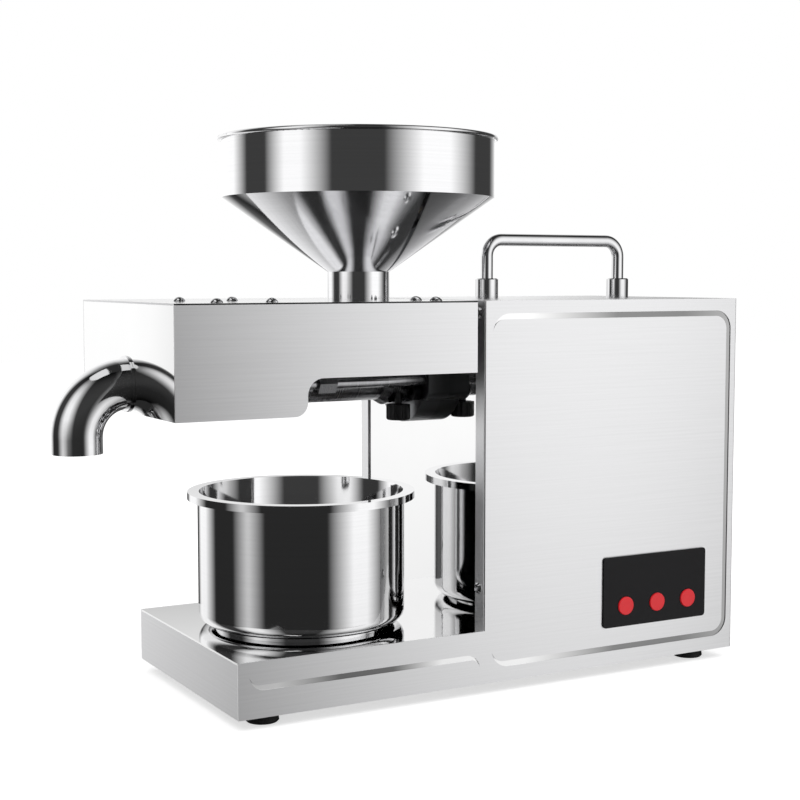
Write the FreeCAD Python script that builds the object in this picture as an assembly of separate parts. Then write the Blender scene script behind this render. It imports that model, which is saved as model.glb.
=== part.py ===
import FreeCAD, Part
import math
import os
from FreeCAD import Vector

# Screw oil press for the kitchen counter. A tall motor tower stands on a long low base, and a
# cantilever arm carries the press barrel over the oil cup. Seed goes in at the hopper, the tapered
# screw crushes it against the slotted barrel, oil drips into the cup and cake leaves by the elbow.
#
# Millimetres. +X runs from the cake outlet to the tower, +Y from the front to the back, +Z up.
# The origin lies on the counter, under the middle of the whole machine.

# ---- Sheet-metal casing
depth = 180.0
base_height = 36.6
tower_width = 219.2
tower_height = 261.3
sheet = 1.2
return_flange = 11.5
fold_radius = 1.0
flange_screw = 2.0
flange_screw_length = 6.0
flange_screw_inset = 7.5
flange_screw_heights = (65.0, 253.0)
flange_head = 3.9
flange_head_height = 1.6
flange_head_taper = 1.0
foot_height = 8.0
foot_radius = 11.0
foot_inset_x = 25.0
foot_inset_y = 20.0
foot_edge = 1.0
foot_web = 3.0
foot_bore = 4.5
foot_screw = 2.0
foot_screw_head = 3.9
foot_screw_head_height = 2.5
foot_screw_grip = 5.0

# ---- Arm over the base
arm_height = 72.0
arm_overhang = 39.2
arm_gap = 5.8
arm_wall_short = 48.0
arm_skirt = 88.6
arm_corner = 9.0
arm_inside_corner = 11.0
arm_edge = 1.5

# ---- Press line: everything on the screw's axis
axis_drop = 53.8
barrel_outer = 17.5
barrel_bore = 12.6
barrel_overhang = 21.0
barrel_nose = 12.0
barrel_neck = 14.0
barrel_neck_length = 12.0
barrel_tail = 3.8
barrel_taper = 6.0
barrel_port_depth = 4.0
barrel_slot_depth = 5.0
choke_flats = 34.0
choke_shoulder = 3.0
choke_grip = 10.0
choke_reach = 16.0
choke_bevel = 1.6
choke_nose_wall = 1.2
choke_taper = 0.8
barrel_flange = 21.0
barrel_flange_length = 16.0
flight_radius = 12.3
root_feed = 5.5
root_press = 9.6
flight_pitch = 20.0
flight_tip = 2.6
flight_foot = 4.6
flight_sink = 0.6
screw_gap = 2.0
screw_tip = 16.0
screw_tip_taper = 2.4
screw_press_length = 26.0
screw_feed_clear = 14.0
screw_seal = 6.0
screw_seal_taper = 4.0
screw_neck = 9.0
screw_tang_gap = 3.0
feed_from_tower = 48.8
feed_port = 11.0
slot_width = 1.4
slot_pitch = 5.0
slot_count = 8
slot_half_width = 9.0
fit = 0.05

# ---- Seat that joins the barrel to the gearbox
seat_thickness = 16.4
seat_half_width = 41.0
seat_below_axis = 16.5
seat_boss = 34.0
seat_bolt_y = 26.5
seat_bolt_z = 10.5
seat_bolt_head = 6.2
seat_bolt = 3.0
seat_bolt_head_height = 6.0
seat_bolt_socket = 5.0
seat_bolt_socket_depth = 3.5
seat_bolt_clear = 0.3
seat_corner = 6.0
seat_pocket = 4.0
seat_rod_pocket = 8.0
seat_shaft_clear = 1.0
seat_boss_step = 1.0

# ---- Hanger and tie rods at the outlet end of the barrel
hanger_x = 11.0
hanger_thickness = 12.0
hanger_eye = 25.0
hanger_flange_left = 10.0
hanger_flange_right = 46.0
hanger_flange_thick = 5.0
hanger_flange_margin = 14.0
hanger_screw_x = 18.8
hanger_screw_y = (25.0, 90.0)
hanger_rib = 6.0
hanger_ear = 9.0
bracket_length = 22.6
bracket_thick = 4.0
bracket_drop = 24.0
bracket_margin = 9.0
bracket_leg = 3.0
bracket_screw_x = 12.6
bracket_screw_edges = (9.0, 4.0)
arm_screw_head = 4.5
arm_screw_rise = 2.9
arm_screw = 2.4
tie_rod = 4.0
tie_rod_y = 33.0
tie_rod_drop = 2.0
tie_nut_flats = 13.0
coupler_from_cup = 4.3
coupler_length = 13.0
tie_nut_length = 6.5
tie_rod_tail = 2.0
tie_rod_pocket_gap = 1.0

# ---- Heater, probe and locking knob
heater_gap = 17.0
heater_width = 22.0
heater_thick = 3.2
heater_ear_inset = 4.0
heater_ear_half = 4.5
heater_ear_rise = 13.0
heater_split = 2.0
heater_screw = 1.5
heater_screw_head = 2.8
heater_screw_head_height = 2.5
heater_screw_rise = 8.5
heater_screw_tail = 2.0
probe_gap = 4.0
probe_radius = 2.5
probe_length = 7.0
knob_radius = 8.5
knob_height = 11.0
knob_stem = 2.5
knob_lift = 0.9
knob_from_seat = 10.2
knob_aside = 15.5
knob_stem_depth = 4.0
knob_edge = 1.6
knob_flutes = 8
knob_flute = 1.9

# ---- Hopper, throat and oil cup
hopper_rim = 95.3
hopper_band = 41.0
hopper_cone = 51.3
hopper_wall = 1.0
hopper_bead = 1.5
bead_sink = 0.4
collar_radius = 21.8
collar_height = 19.5
spigot_radius = 17.8
spigot_length = 14.0
feed_bore = 15.5
throat_outer = 20.8
throat_funnel = 12.0
throat_gap = 1.0
spigot_fit = 0.4
cup_clear_left = 7.7
cup_clear_right = 15.1
cup_radius = 72.0
cup_height = 92.9
cup_lip = 7.0
cup_lip_drop = 5.0
cup_wall = 1.0
cup_corner = 8.0
cup_foot_step = 3.0
cup_foot_height = 2.0

# ---- Cake elbow
elbow_outer = 16.5
elbow_wall = 1.2
elbow_bend = 33.5
elbow_drop = 10.5
elbow_collar = 18.4
elbow_collar_length = 1.3
elbow_spigot = 7.0

# ---- Handle on the tower
handle_pitch = 119.6
handle_offset = 57.9
handle_bar_radius = 4.5
handle_rise = 43.2
handle_bend = 12.0
handle_sleeve = 8.4
handle_sleeve_height = 14.7
handle_stud = 6.5
handle_nut_flats = 16.0
handle_nut_height = 4.5
handle_sleeve_edge = 0.8

# ---- Control panel on the front
panel_left = 99.7
panel_width = 92.6
panel_bottom = 27.0
panel_height = 51.0
panel_corner = 2.5
panel_proud = 1.2
window_margin = 3.0
panel_back = 3.0
button_radius = 6.6
button_gap = 0.1
button_proud = 1.2
button_flange = 7.6
button_height = 14.8
button_first = 19.6
button_pitch = 28.2
button_travel = 0.8
board_gap = 9.0
board_thick = 1.6
switch_size = 6.0
switch_body = 3.5
switch_gap = 0.2
button_edge = 0.6
button_flange_thick = 1.0
button_flange_gap = 0.3
button_stem = 2.0
plug_gap = 0.2
pillar_radius = 2.8
pillar_pin = 1.5
pillar_inset = 3.0
board_inset = 2.0

# ---- Pressed grooves on the front sheet
groove_width = 4.0
groove_depth = 0.6
ring_inset_left = 6.4
ring_inset_right = 5.4
ring_inset_top = 8.7
ring_inset_bottom = 10.0
ring_corner = 13.5
hook_radius = 10.5
hook_width = 3.6
hook_left_inset = 7.8
hook_right_inset = 3.0
hook_rise = 1.1

# ---- Gear train: three reductions stacked below the screw
pressure_angle = math.radians(25.0)
backlash = 0.28
pinion_teeth = 12
output_teeth = 42
idler_teeth = 48
module_1 = 1.75
module_2 = 1.25
module_3 = 1.0
face_1 = 12.0
face_2 = 9.0
face_3 = 7.0
gear_gap = 3.0
output_shaft_radius = 10.0
idler_shaft_radius = 6.0
bush_wall = 3.0
motor_shaft_radius = 4.0
socket_flats = 13.0
socket_depth = 18.4
bearing_outer = 21.0
bearing_clear = 2.0
housing_wall = 6.0
housing_rim = 4.0
gear_clear = 2.5
cover_thick = 8.0
lug_radius = 5.5
gearbox_screw = 2.0
gearbox_screw_head = 3.8
gearbox_screw_head_height = 3.5
gearbox_screw_length = 9.0
lug_length = 12.0
lug_overlap = 1.5
gear_rim = 3.2
gear_holes = 6
gear_hole = 6.0
gear_hole_margin = 2.0
output_hub = 17.0
first_hub = 12.0
second_hub = 11.0
pinion_proud = 1.0
shaft_shoulder = 3.0
shoulder_gap = 0.5
shaft_end_gap = 2.0

# ---- Motor
motor_radius = 38.0
motor_length = 92.0
motor_wall = 2.0
motor_cap = 8.0
motor_face = 4.0
motor_boss = 11.0
motor_boss_gap = 1.0
motor_bearing = 8.0
motor_pinion_room = 8.0
cap_holes = 6
cap_hole = 6.0
cap_hole_ring = 22.0
magnet_front_gap = 14.0
magnet_rear_gap = 12.0
magnet_split = 18.0
magnet_thick = 6.0
rotor_radius = 27.5
rotor_length = 52.0
rotor_gap = 16.0
rotor_slots = 12
rotor_slot = 1.8
fan_radius = 33.0
fan_width = 14.0
fan_gap = 6.0
fan_blades = 9
fan_hub = 9.0
fan_disc = 1.5
fan_blade = 1.6
fan_blade_root = 7.0
cradle_width = 40.0
cradle_half = 34.0
cradle_wrap = 0.55
cradle_wall = 4.0
cradle_floor = 3.0

# ---- Back of the tower: inlet and vents
inlet_right = 60.0
inlet_height = 45.0
inlet_width = 27.0
inlet_tall = 20.0
inlet_plate = 50.0
inlet_plate_thick = 2.5
inlet_plate_margin = 1.5
inlet_plate_corner = 3.0
inlet_depth = 16.0
inlet_bottom = 3.0
inlet_wall = 1.5
inlet_pin_wide = 2.0
inlet_pin_tall = 4.0
inlet_pin_spread = 7.0
inlet_pin_step = 2.0
inlet_pin_drop = 1.0
inlet_screw_pitch = 40.0
inlet_screw = 1.75
inlet_screw_head = 3.0
inlet_screw_head_height = 1.8
vent_slots = 9
vent_width = 4.0
vent_pitch = 10.0
vent_length = 70.0

# ---- Places worked out from the sizes above
outlet_reach = arm_overhang + elbow_bend + elbow_outer
cup_rim = cup_radius + cup_lip
deck_length = cup_clear_left + 2 * cup_rim + cup_clear_right
base_length = deck_length + tower_width
left = (outlet_reach - base_length - flange_head_height) / 2
right = left + base_length
front = -depth / 2
back = depth / 2
floor = foot_height
deck = floor + base_height
roof = floor + tower_height
tower_left = right - tower_width
plate_face = tower_left + sheet
plate_inside = plate_face + sheet
arm_left = left - arm_overhang
arm_right = tower_left - arm_gap
arm_bottom = roof - arm_height
arm_ceiling = roof - sheet
axis_z = roof - axis_drop
seat_left = plate_face - seat_thickness
seat_bottom = axis_z - seat_below_axis
barrel_left = left - barrel_overhang
feed = tower_left - feed_from_tower
cup = left + cup_clear_left + cup_rim
hanger_left = left + hanger_x
hanger_right = hanger_left + hanger_thickness
idler_1_z = axis_z - module_1 * (output_teeth + pinion_teeth) / 2
idler_2_z = idler_1_z - module_2 * (idler_teeth + pinion_teeth) / 2
motor_z = idler_2_z - module_3 * (idler_teeth + pinion_teeth) / 2
housing_left = plate_inside
cavity_left = housing_left + housing_wall
plane_a = cavity_left + gear_gap
plane_b = plane_a + face_2 + gear_gap
plane_c = plane_b + face_1 + gear_gap
cavity_right = plane_c + face_3 + gear_gap
cover_right = cavity_right + cover_thick
motor_right = cover_right + motor_length
fan_left = motor_right + fan_gap
socket_left = seat_left + fit


# ---- Basic solids and helpers

def block(x0, x1, y0, y1, z0, z1):
    return Part.makeBox(x1 - x0, y1 - y0, z1 - z0, Vector(x0, y0, z0))


def along_x(x0, x1, y, z, radius):
    return Part.makeCylinder(radius, x1 - x0, Vector(x0, y, z), Vector(1, 0, 0))


def along_y(y0, y1, x, z, radius):
    return Part.makeCylinder(radius, y1 - y0, Vector(x, y0, z), Vector(0, 1, 0))


def along_z(z0, z1, x, y, radius):
    return Part.makeCylinder(radius, z1 - z0, Vector(x, y, z0), Vector(0, 0, 1))


def cone_x(x0, x1, z, radius_0, radius_1):
    return Part.makeCone(radius_0, radius_1, x1 - x0, Vector(x0, 0, z), Vector(1, 0, 0))


def tube_x(x0, x1, y, z, outer, inner):
    return along_x(x0, x1, y, z, outer).cut(along_x(x0 - 1, x1 + 1, y, z, inner))


def tube_z(z0, z1, x, y, outer, inner):
    return along_z(z0, z1, x, y, outer).cut(along_z(z0 - 1, z1 + 1, x, y, inner))


def fuse(shapes):
    shapes = list(shapes)
    if len(shapes) == 1:
        return shapes[0]
    return shapes[0].multiFuse(shapes[1:]).removeSplitter()


def group(shapes):
    return Part.makeCompound(list(shapes))


def hexagon(flats):
    """Corners of a closed regular hexagon, as (across, up) pairs."""
    corner = flats / math.sqrt(3)
    turns = [math.radians(60 * i) for i in range(7)]
    return [(corner * math.cos(turn), corner * math.sin(turn)) for turn in turns]


def hexagon_x(x0, x1, y, z, flats):
    points = [Vector(x0, y + across, z + up) for across, up in hexagon(flats)]
    return Part.Face(Part.makePolygon(points)).extrude(Vector(x1 - x0, 0, 0))


def hexagon_z(z0, z1, x, y, flats):
    points = [Vector(x + across, y + up, z0) for across, up in hexagon(flats)]
    return Part.Face(Part.makePolygon(points)).extrude(Vector(0, 0, z1 - z0))


def turned_z(profile, x, y):
    """Solid of revolution about a vertical line; the profile is (radius, height) points."""
    points = [Vector(x + r, y, z) for r, z in profile]
    face = Part.Face(Part.makePolygon(points + points[:1]))
    return face.revolve(Vector(x, y, 0), Vector(0, 0, 1), 360)


def turned_x(profile, z):
    """Solid of revolution about the line along X at height z; the profile is (x, radius) points."""
    points = [Vector(px, 0, z + r) for px, r in profile]
    face = Part.Face(Part.makePolygon(points + points[:1]))
    return face.revolve(Vector(0, 0, z), Vector(1, 0, 0), 360)


def rounded_xz(x0, x1, z0, z1, radius, y0, y1):
    """Block with its four edges along Y rounded."""
    solid = block(x0, x1, y0, y1, z0, z1)
    edges = [e for e in solid.Edges if abs(e.tangentAt(0).y) > 0.9]
    return solid.makeFillet(radius, edges)


def dome_screw(x, y, z, head, height, shank, length):
    """Dome-headed screw pointing down, with the underside of its head at z."""
    bulge = (head * head + height * height) / (2 * height)
    ball = Part.makeSphere(bulge, Vector(x, y, z + height - bulge))
    cap = ball.common(along_z(z, z + height, x, y, head))
    return cap.fuse(along_z(z - length, z, x, y, shank))


# ---- Casing

def l_sheet(y0, y1):
    """One sheet covers the tower and the base, so the face has no seam between them."""
    points = [(left, floor), (right, floor), (right, roof),
              (tower_left, roof), (tower_left, deck), (left, deck)]
    wire = Part.makePolygon([Vector(x, y0, z) for x, z in points + points[:1]])
    return Part.Face(wire).extrude(Vector(0, y1 - y0, 0))


def side_flanges(y_outer, y_inner):
    """Returns folded back along both sides of the tower, lapped over its side plates."""
    y0, y1 = min(y_outer, y_inner), max(y_outer, y_inner)
    near = block(tower_left, tower_left + sheet, y0, y1, deck, roof)
    far = block(right - sheet, right, y0, y1, floor, roof)
    return [near, far]


def folded(body, y):
    """Rounds the upright folds between the tower's face at y and the returns at its sides."""
    folds = []
    for edge in body.Edges:
        middle = edge.CenterOfMass
        upright = abs(edge.tangentAt(0).z) > 0.9 and edge.Length > base_height + 1
        at_side = abs(middle.x - tower_left) < 0.1 or abs(middle.x - right) < 0.1
        if upright and at_side and abs(middle.y - y) < 0.1:
            folds.append(edge)
    return body.makeFillet(fold_radius, folds)


def flange_screw_y(side):
    return side * (back - flange_screw_inset)


def flange_screw_places():
    places = []
    for side in (-1, 1):
        for height in flange_screw_heights:
            places.append((flange_screw_y(side), floor + height))
    return places


def flange_holes(solid, side):
    for y, z in flange_screw_places():
        if y * side > 0:
            solid = solid.cut(along_x(tower_left - 1, plate_face + 1, y, z, flange_screw + fit))
            solid = solid.cut(along_x(right - sheet - 1, right + 1, y, z, flange_screw + fit))
    return solid


def tower_ring(y0, y1):
    """Groove round three sides of the tower's face; on the left it narrows to two pointed corners."""
    x0 = tower_left + ring_inset_left
    x1 = right - ring_inset_right
    z0 = floor + ring_inset_bottom
    z1 = roof - ring_inset_top
    outer = rounded_xz(x0, x1, z0, z1, ring_corner, y0, y1)
    inner = rounded_xz(x0 - fit, x1 - groove_width, z0 + groove_width, z1 - groove_width,
                       ring_corner - groove_width, y0 - 1, y1 + 1)
    return outer.cut(inner)


def block_between(xs, zs, y0, y1):
    return block(min(xs), max(xs), y0, y1, min(zs), max(zs))


def hook_curl(tip, edge, side, y0, y1):
    """Quarter turn that narrows to a point; its point is at x = tip and it leaves the edge at z = edge."""
    middle = tip - side * hook_radius
    centre = edge - side * hook_radius
    inner = hook_radius - hook_width
    turn = middle + side * hook_width
    disc = along_y(y0, y1, middle, centre, hook_radius)
    disc = disc.common(block_between((tip, middle), (edge, centre), y0, y1))
    disc = disc.cut(along_y(y0 - 1, y1 + 1, turn, centre, inner + fit))
    return disc.cut(block_between((turn, middle), (edge - side * hook_width, centre), y0 - 1, y1 + 1))


def base_hook(y0, y1):
    """Groove along the front of the base; its pointed ends curl up on the left and down on the right."""
    x0 = left + hook_left_inset
    x1 = tower_left - hook_right_inset
    z = floor + base_height / 2 + hook_rise
    half = hook_width / 2
    middle = block(x0 + hook_radius, x1 - hook_radius, y0, y1, z - half, z + half)
    return fuse([middle, hook_curl(x0, z - half, -1, y0, y1), hook_curl(x1, z + half, 1, y0, y1)])


def panel_box(margin, y0, y1):
    x0 = tower_left + panel_left + margin
    x1 = tower_left + panel_left + panel_width - margin
    z0 = floor + panel_bottom + margin
    z1 = floor + panel_bottom + panel_height - margin
    return rounded_xz(x0, x1, z0, z1, panel_corner, y0, y1)


def front_panel():
    body = fuse([l_sheet(front, front + sheet)] + side_flanges(front, front + return_flange))
    body = folded(body, front)
    body = body.cut(tower_ring(front - 1, front + groove_depth))
    body = body.cut(base_hook(front - 1, front + groove_depth))
    body = body.cut(panel_box(window_margin, front - 1, front + sheet + 1))
    return flange_holes(body, -1)


def inlet_centre():
    return right - inlet_right, floor + inlet_height


def back_panel():
    body = fuse([l_sheet(back - sheet, back)] + side_flanges(back, back - return_flange))
    body = folded(body, back)
    x, z = inlet_centre()
    hole = block(x - inlet_width / 2 - fit, x + inlet_width / 2 + fit, back - sheet - 1, back + 1,
                 z - inlet_tall / 2 - fit, z + inlet_tall / 2 + fit)
    return flange_holes(body.cut(hole), 1)


def foot_places():
    return [(x, y) for x in (left + foot_inset_x, right - foot_inset_x)
            for y in (front + foot_inset_y, back - foot_inset_y)]


def bottom_plate():
    body = block(left, right - sheet, front + sheet, back - sheet, floor, floor + sheet)
    for x, y in foot_places():
        body = body.cut(along_z(floor - 1, floor + sheet + 1, x, y, foot_screw + fit))
    return body


def base_top_plate():
    return block(left, plate_face, front + sheet, back - sheet, deck - sheet, deck)


def base_end_plate():
    return block(left, left + sheet, front + sheet, back - sheet, floor + sheet, deck - sheet)


def tower_left_plate():
    body = block(plate_face, plate_inside, front + sheet, back - sheet, deck - sheet, roof - sheet)
    body = body.cut(along_x(plate_face - 1, plate_inside + 1, 0, axis_z, bearing_outer + bearing_clear))
    for y, z in seat_bolt_places():
        body = body.cut(along_x(plate_face - 1, plate_inside + 1, y, z, seat_bolt + seat_bolt_clear))
    for y, z in flange_screw_places():
        body = body.cut(along_x(plate_face - 1, plate_inside + 1, y, z, flange_screw + fit))
    return body


def tower_right_plate():
    inside = right - 2 * sheet
    body = block(inside, right - sheet, front + sheet, back - sheet, floor + sheet, roof - sheet)
    for i in range(vent_slots):
        y = (i - (vent_slots - 1) / 2) * vent_pitch
        slot = block(inside - 1, right, y - vent_width / 2, y + vent_width / 2,
                     motor_z - vent_length / 2, motor_z + vent_length / 2)
        body = body.cut(slot)
    for y, z in flange_screw_places():
        body = body.cut(along_x(inside - 1, right, y, z, flange_screw + fit))
    return body


def handle_posts():
    first = tower_left + handle_offset
    return first, first + handle_pitch


def tower_top_plate():
    body = block(plate_face, right - sheet, front + sheet, back - sheet, roof - sheet, roof)
    for x in handle_posts():
        body = body.cut(along_z(roof - sheet - 1, roof + 1, x, 0, handle_bar_radius + fit))
    return body


def flange_screws():
    """Flat-topped screws through the returns and the side plates."""
    screws = []
    top = flange_head - flange_head_taper
    for y, z in flange_screw_places():
        for x, side in ((tower_left, -1), (right, 1)):
            head = Part.makeCone(flange_head, top, flange_head_height, Vector(x, y, z), Vector(side, 0, 0))
            ends = sorted((x, x - side * flange_screw_length))
            screws.append(head.fuse(along_x(ends[0], ends[1], y, z, flange_screw)))
    return group(screws)


def feet():
    """Rubber pads, each drilled from below so that its screw's head sits inside."""
    profile = [(0, 0), (foot_radius - foot_edge, 0), (foot_radius, foot_edge),
               (foot_radius - foot_edge, foot_height), (0, foot_height)]
    pads = []
    for x, y in foot_places():
        pad = turned_z(profile, x, y)
        pad = pad.cut(along_z(-1, foot_height - foot_web, x, y, foot_bore))
        pads.append(pad.cut(along_z(-1, foot_height + 1, x, y, foot_screw + fit)))
    return group(pads)


def foot_screws():
    screws = []
    seat = foot_height - foot_web
    for x, y in foot_places():
        head = along_z(seat - foot_screw_head_height, seat, x, y, foot_screw_head)
        screws.append(head.fuse(along_z(seat, floor + sheet + foot_screw_grip, x, y, foot_screw)))
    return group(screws)


# ---- Arm

def arm_cover():
    """Folded cover, open underneath, with the walls cut back behind the full-height skirt."""
    outer = block(arm_left, arm_right, front, back, arm_bottom, roof)
    long_edges = [e for e in outer.Edges
                  if abs(e.tangentAt(0).x) > 0.9 and e.CenterOfMass.z > roof - 1]
    outer = outer.makeFillet(arm_edge, long_edges)
    inner = block(arm_left - 1, arm_right + 1, front + sheet, back - sheet, arm_bottom - 1, roof - sheet)
    body = outer.cut(inner)
    cut = block(arm_left + arm_skirt, arm_right + 1, front - 1, back + 1,
                arm_bottom - arm_corner, roof - arm_wall_short)
    inside_corner = [e for e in cut.Edges if abs(e.tangentAt(0).y) > 0.9
                     and e.CenterOfMass.x < arm_left + arm_skirt + 1 and e.CenterOfMass.z > arm_bottom]
    body = body.cut(cut.makeFillet(arm_inside_corner, inside_corner))
    outside = [e for e in body.Edges if abs(e.tangentAt(0).y) > 0.9 and e.Length < 2 * sheet
               and abs(e.CenterOfMass.x - arm_left - arm_skirt) < 0.1 and e.CenterOfMass.z < arm_bottom + 1]
    body = body.makeFillet(arm_corner, outside)
    body = body.cut(along_z(arm_ceiling - 1, roof + 1, feed, 0, spigot_radius + spigot_fit))
    for x, y in arm_screw_places():
        body = body.cut(along_z(arm_ceiling - 1, roof + 1, x, y, arm_screw + fit))
    return body


def arm_screw_places():
    middle = hanger_left + hanger_thickness / 2
    four = [(middle + side * hanger_screw_x, front + y) for side in (-1, 1) for y in hanger_screw_y]
    near, far = bracket_screw_edges
    two = [(seat_left - bracket_screw_x, front + bracket_margin + near),
           (seat_left - bracket_screw_x, -seat_half_width - far)]
    return four + two


def arm_screws():
    return group(dome_screw(x, y, roof, arm_screw_head, arm_screw_rise, arm_screw, sheet + bracket_thick)
                 for x, y in arm_screw_places())


def arm_end_plate():
    body = block(arm_left, arm_left + sheet, front + sheet, back - sheet, arm_bottom, arm_ceiling)
    return body.cut(along_x(arm_left - 1, arm_left + sheet + 1, 0, axis_z, elbow_outer + fit))


def barrel_hanger():
    """Casting under the arm's top: a screwed flange, two ribs and an eye that holds the barrel."""
    x0 = left - hanger_flange_left
    x1 = left + hanger_flange_right
    y0 = front + hanger_flange_margin
    under = arm_ceiling - hanger_flange_thick
    flange = block(x0, x1, y0, -y0, under, arm_ceiling)
    eye = along_x(hanger_left, hanger_right, 0, axis_z, hanger_eye)
    web = block(hanger_left, hanger_right, -hanger_eye, hanger_eye, axis_z, under)
    ear_z = axis_z - tie_rod_drop
    ears = block(hanger_left, hanger_right, -tie_rod_y - hanger_ear, tie_rod_y + hanger_ear,
                 ear_z - hanger_ear, ear_z + hanger_ear)
    solids = [flange, eye, web, ears]
    for y in (-hanger_eye, hanger_eye - hanger_rib):
        points = [Vector(hanger_right, y, under), Vector(x1, y, under),
                  Vector(hanger_right, y, axis_z + hanger_eye)]
        rib = Part.Face(Part.makePolygon(points + points[:1]))
        solids.append(rib.extrude(Vector(0, hanger_rib, 0)))
    body = fuse(solids)
    body = body.cut(along_x(hanger_left - 1, hanger_right + 1, 0, axis_z, barrel_outer + fit))
    for y, z in tie_rod_places():
        body = body.cut(along_x(hanger_left - 1, hanger_right + 1, y, z, tie_rod + fit))
    for x, y in arm_screw_places()[:4]:
        body = body.cut(along_z(under - 1, arm_ceiling + 1, x, y, arm_screw + fit))
    return body


def cover_bracket():
    """Angle that ties the cover to the seat near the tower."""
    y0 = front + bracket_margin
    y1 = -seat_half_width
    top = block(seat_left - bracket_length, arm_right, y0, y1, arm_ceiling - bracket_thick, arm_ceiling)
    leg = block(seat_left, arm_right, y1 - bracket_leg, y1, arm_ceiling - bracket_drop, arm_ceiling)
    body = top.fuse(leg).removeSplitter()
    for x, y in arm_screw_places()[4:]:
        body = body.cut(along_z(arm_ceiling - bracket_thick - 1, arm_ceiling + 1, x, y, arm_screw + fit))
    return body


# ---- Press line

def seat_bolt_places():
    return [(y, axis_z + z) for y in (-seat_bolt_y, seat_bolt_y) for z in (-seat_bolt_z, seat_bolt_z)]


def tie_rod_places():
    return [(y, axis_z - tie_rod_drop) for y in (-tie_rod_y, tie_rod_y)]


def connecting_seat():
    """Machined block on the tower that takes the barrel's tail and the two tie rods."""
    body = block(seat_left, plate_face, -seat_half_width, seat_half_width, seat_bottom, arm_ceiling)
    corners = [e for e in body.Edges if abs(e.tangentAt(0).x) > 0.9 and e.CenterOfMass.z < seat_bottom + 1]
    body = body.makeFillet(seat_corner, corners)
    boss = along_x(seat_left + seat_boss_step, plate_face, 0, axis_z, seat_boss)
    body = body.fuse(boss).removeSplitter()
    body = body.cut(along_x(seat_left - 1, seat_left + seat_pocket, 0, axis_z, barrel_neck + fit))
    body = body.cut(along_x(seat_left, plate_face + 1, 0, axis_z, output_shaft_radius + seat_shaft_clear))
    for y, z in seat_bolt_places():
        body = body.cut(along_x(seat_left - 1, plate_face + 1, y, z, seat_bolt + fit))
    for y, z in tie_rod_places():
        body = body.cut(along_x(seat_left - 1, seat_left + seat_rod_pocket, y, z, tie_rod + fit))
    return body


def seat_bolts():
    """Socket-head bolts from the seat through the tower's plate into the gearbox."""
    bolts = []
    head_left = seat_left - seat_bolt_head_height
    for y, z in seat_bolt_places():
        head = along_x(head_left, seat_left, y, z, seat_bolt_head)
        head = head.cut(hexagon_x(head_left - 1, head_left + seat_bolt_socket_depth, y, z, seat_bolt_socket))
        bolts.append(head.fuse(along_x(seat_left, cavity_left, y, z, seat_bolt)))
    return group(bolts)


def barrel_profile(bore):
    neck_end = barrel_left + barrel_neck_length
    flange_left = seat_left - barrel_flange_length
    tail_end = seat_left + barrel_tail
    return [(barrel_left, barrel_neck), (neck_end, barrel_neck), (neck_end, barrel_outer),
            (flange_left - barrel_taper, barrel_outer), (flange_left, barrel_flange),
            (seat_left, barrel_flange), (seat_left, barrel_neck), (tail_end, barrel_neck),
            (tail_end, bore), (barrel_left, bore)]


def press_barrel():
    """Cage of the press: plain tube with a feed port above and a row of oil slots below."""
    body = turned_x(barrel_profile(barrel_bore), axis_z)
    body = body.cut(along_z(axis_z + barrel_port_depth, axis_z + barrel_outer + 1, feed, 0, feed_port))
    for i in range(slot_count):
        x = cup + (i - (slot_count - 1) / 2) * slot_pitch - slot_width / 2
        body = body.cut(block(x, x + slot_width, -slot_half_width, slot_half_width,
                              axis_z - barrel_outer - 1, axis_z - barrel_slot_depth))
    x, y = knob_place()
    hole_top = axis_z - knob_stem_depth + 1
    return body.cut(along_z(axis_z - barrel_flange - 1, hole_top, x, y, knob_stem + fit))


def choke_nut():
    """Hexagon nut on the barrel's nose; the cake squeezes out through its tapered mouth."""
    shoulder = barrel_left - choke_shoulder
    mouth = barrel_left - choke_reach
    x1 = barrel_left + choke_grip
    body = hexagon_x(shoulder, x1, 0, axis_z, choke_flats)
    body = body.common(along_x(shoulder, x1, 0, axis_z, choke_flats / 2 + choke_bevel))
    body = body.fuse(along_x(mouth, shoulder, 0, axis_z, barrel_nose + choke_nose_wall)).removeSplitter()
    body = body.cut(along_x(barrel_left - fit, x1 + 1, 0, axis_z, barrel_neck + fit))
    taper = cone_x(mouth - 0.01, barrel_left + 0.01, axis_z, barrel_nose - choke_taper, barrel_bore)
    return body.cut(taper)


def tie_rods():
    left_end = hanger_left - tie_nut_length - tie_rod_tail
    right_end = seat_left + seat_rod_pocket - tie_rod_pocket_gap
    return group(along_x(left_end, right_end, y, z, tie_rod) for y, z in tie_rod_places())


def tie_nuts():
    """A nut on each side of the hanger and a long coupler over the cup, on both rods."""
    nuts = []
    places = ((hanger_left - tie_nut_length, tie_nut_length), (cup - coupler_from_cup, coupler_length),
              (hanger_right, tie_nut_length))
    for y, z in tie_rod_places():
        for x0, length in places:
            nut = hexagon_x(x0, x0 + length, y, z, tie_nut_flats)
            nuts.append(nut.cut(along_x(x0 - 1, x0 + length + 1, y, z, tie_rod + fit)))
    return group(nuts)


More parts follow.
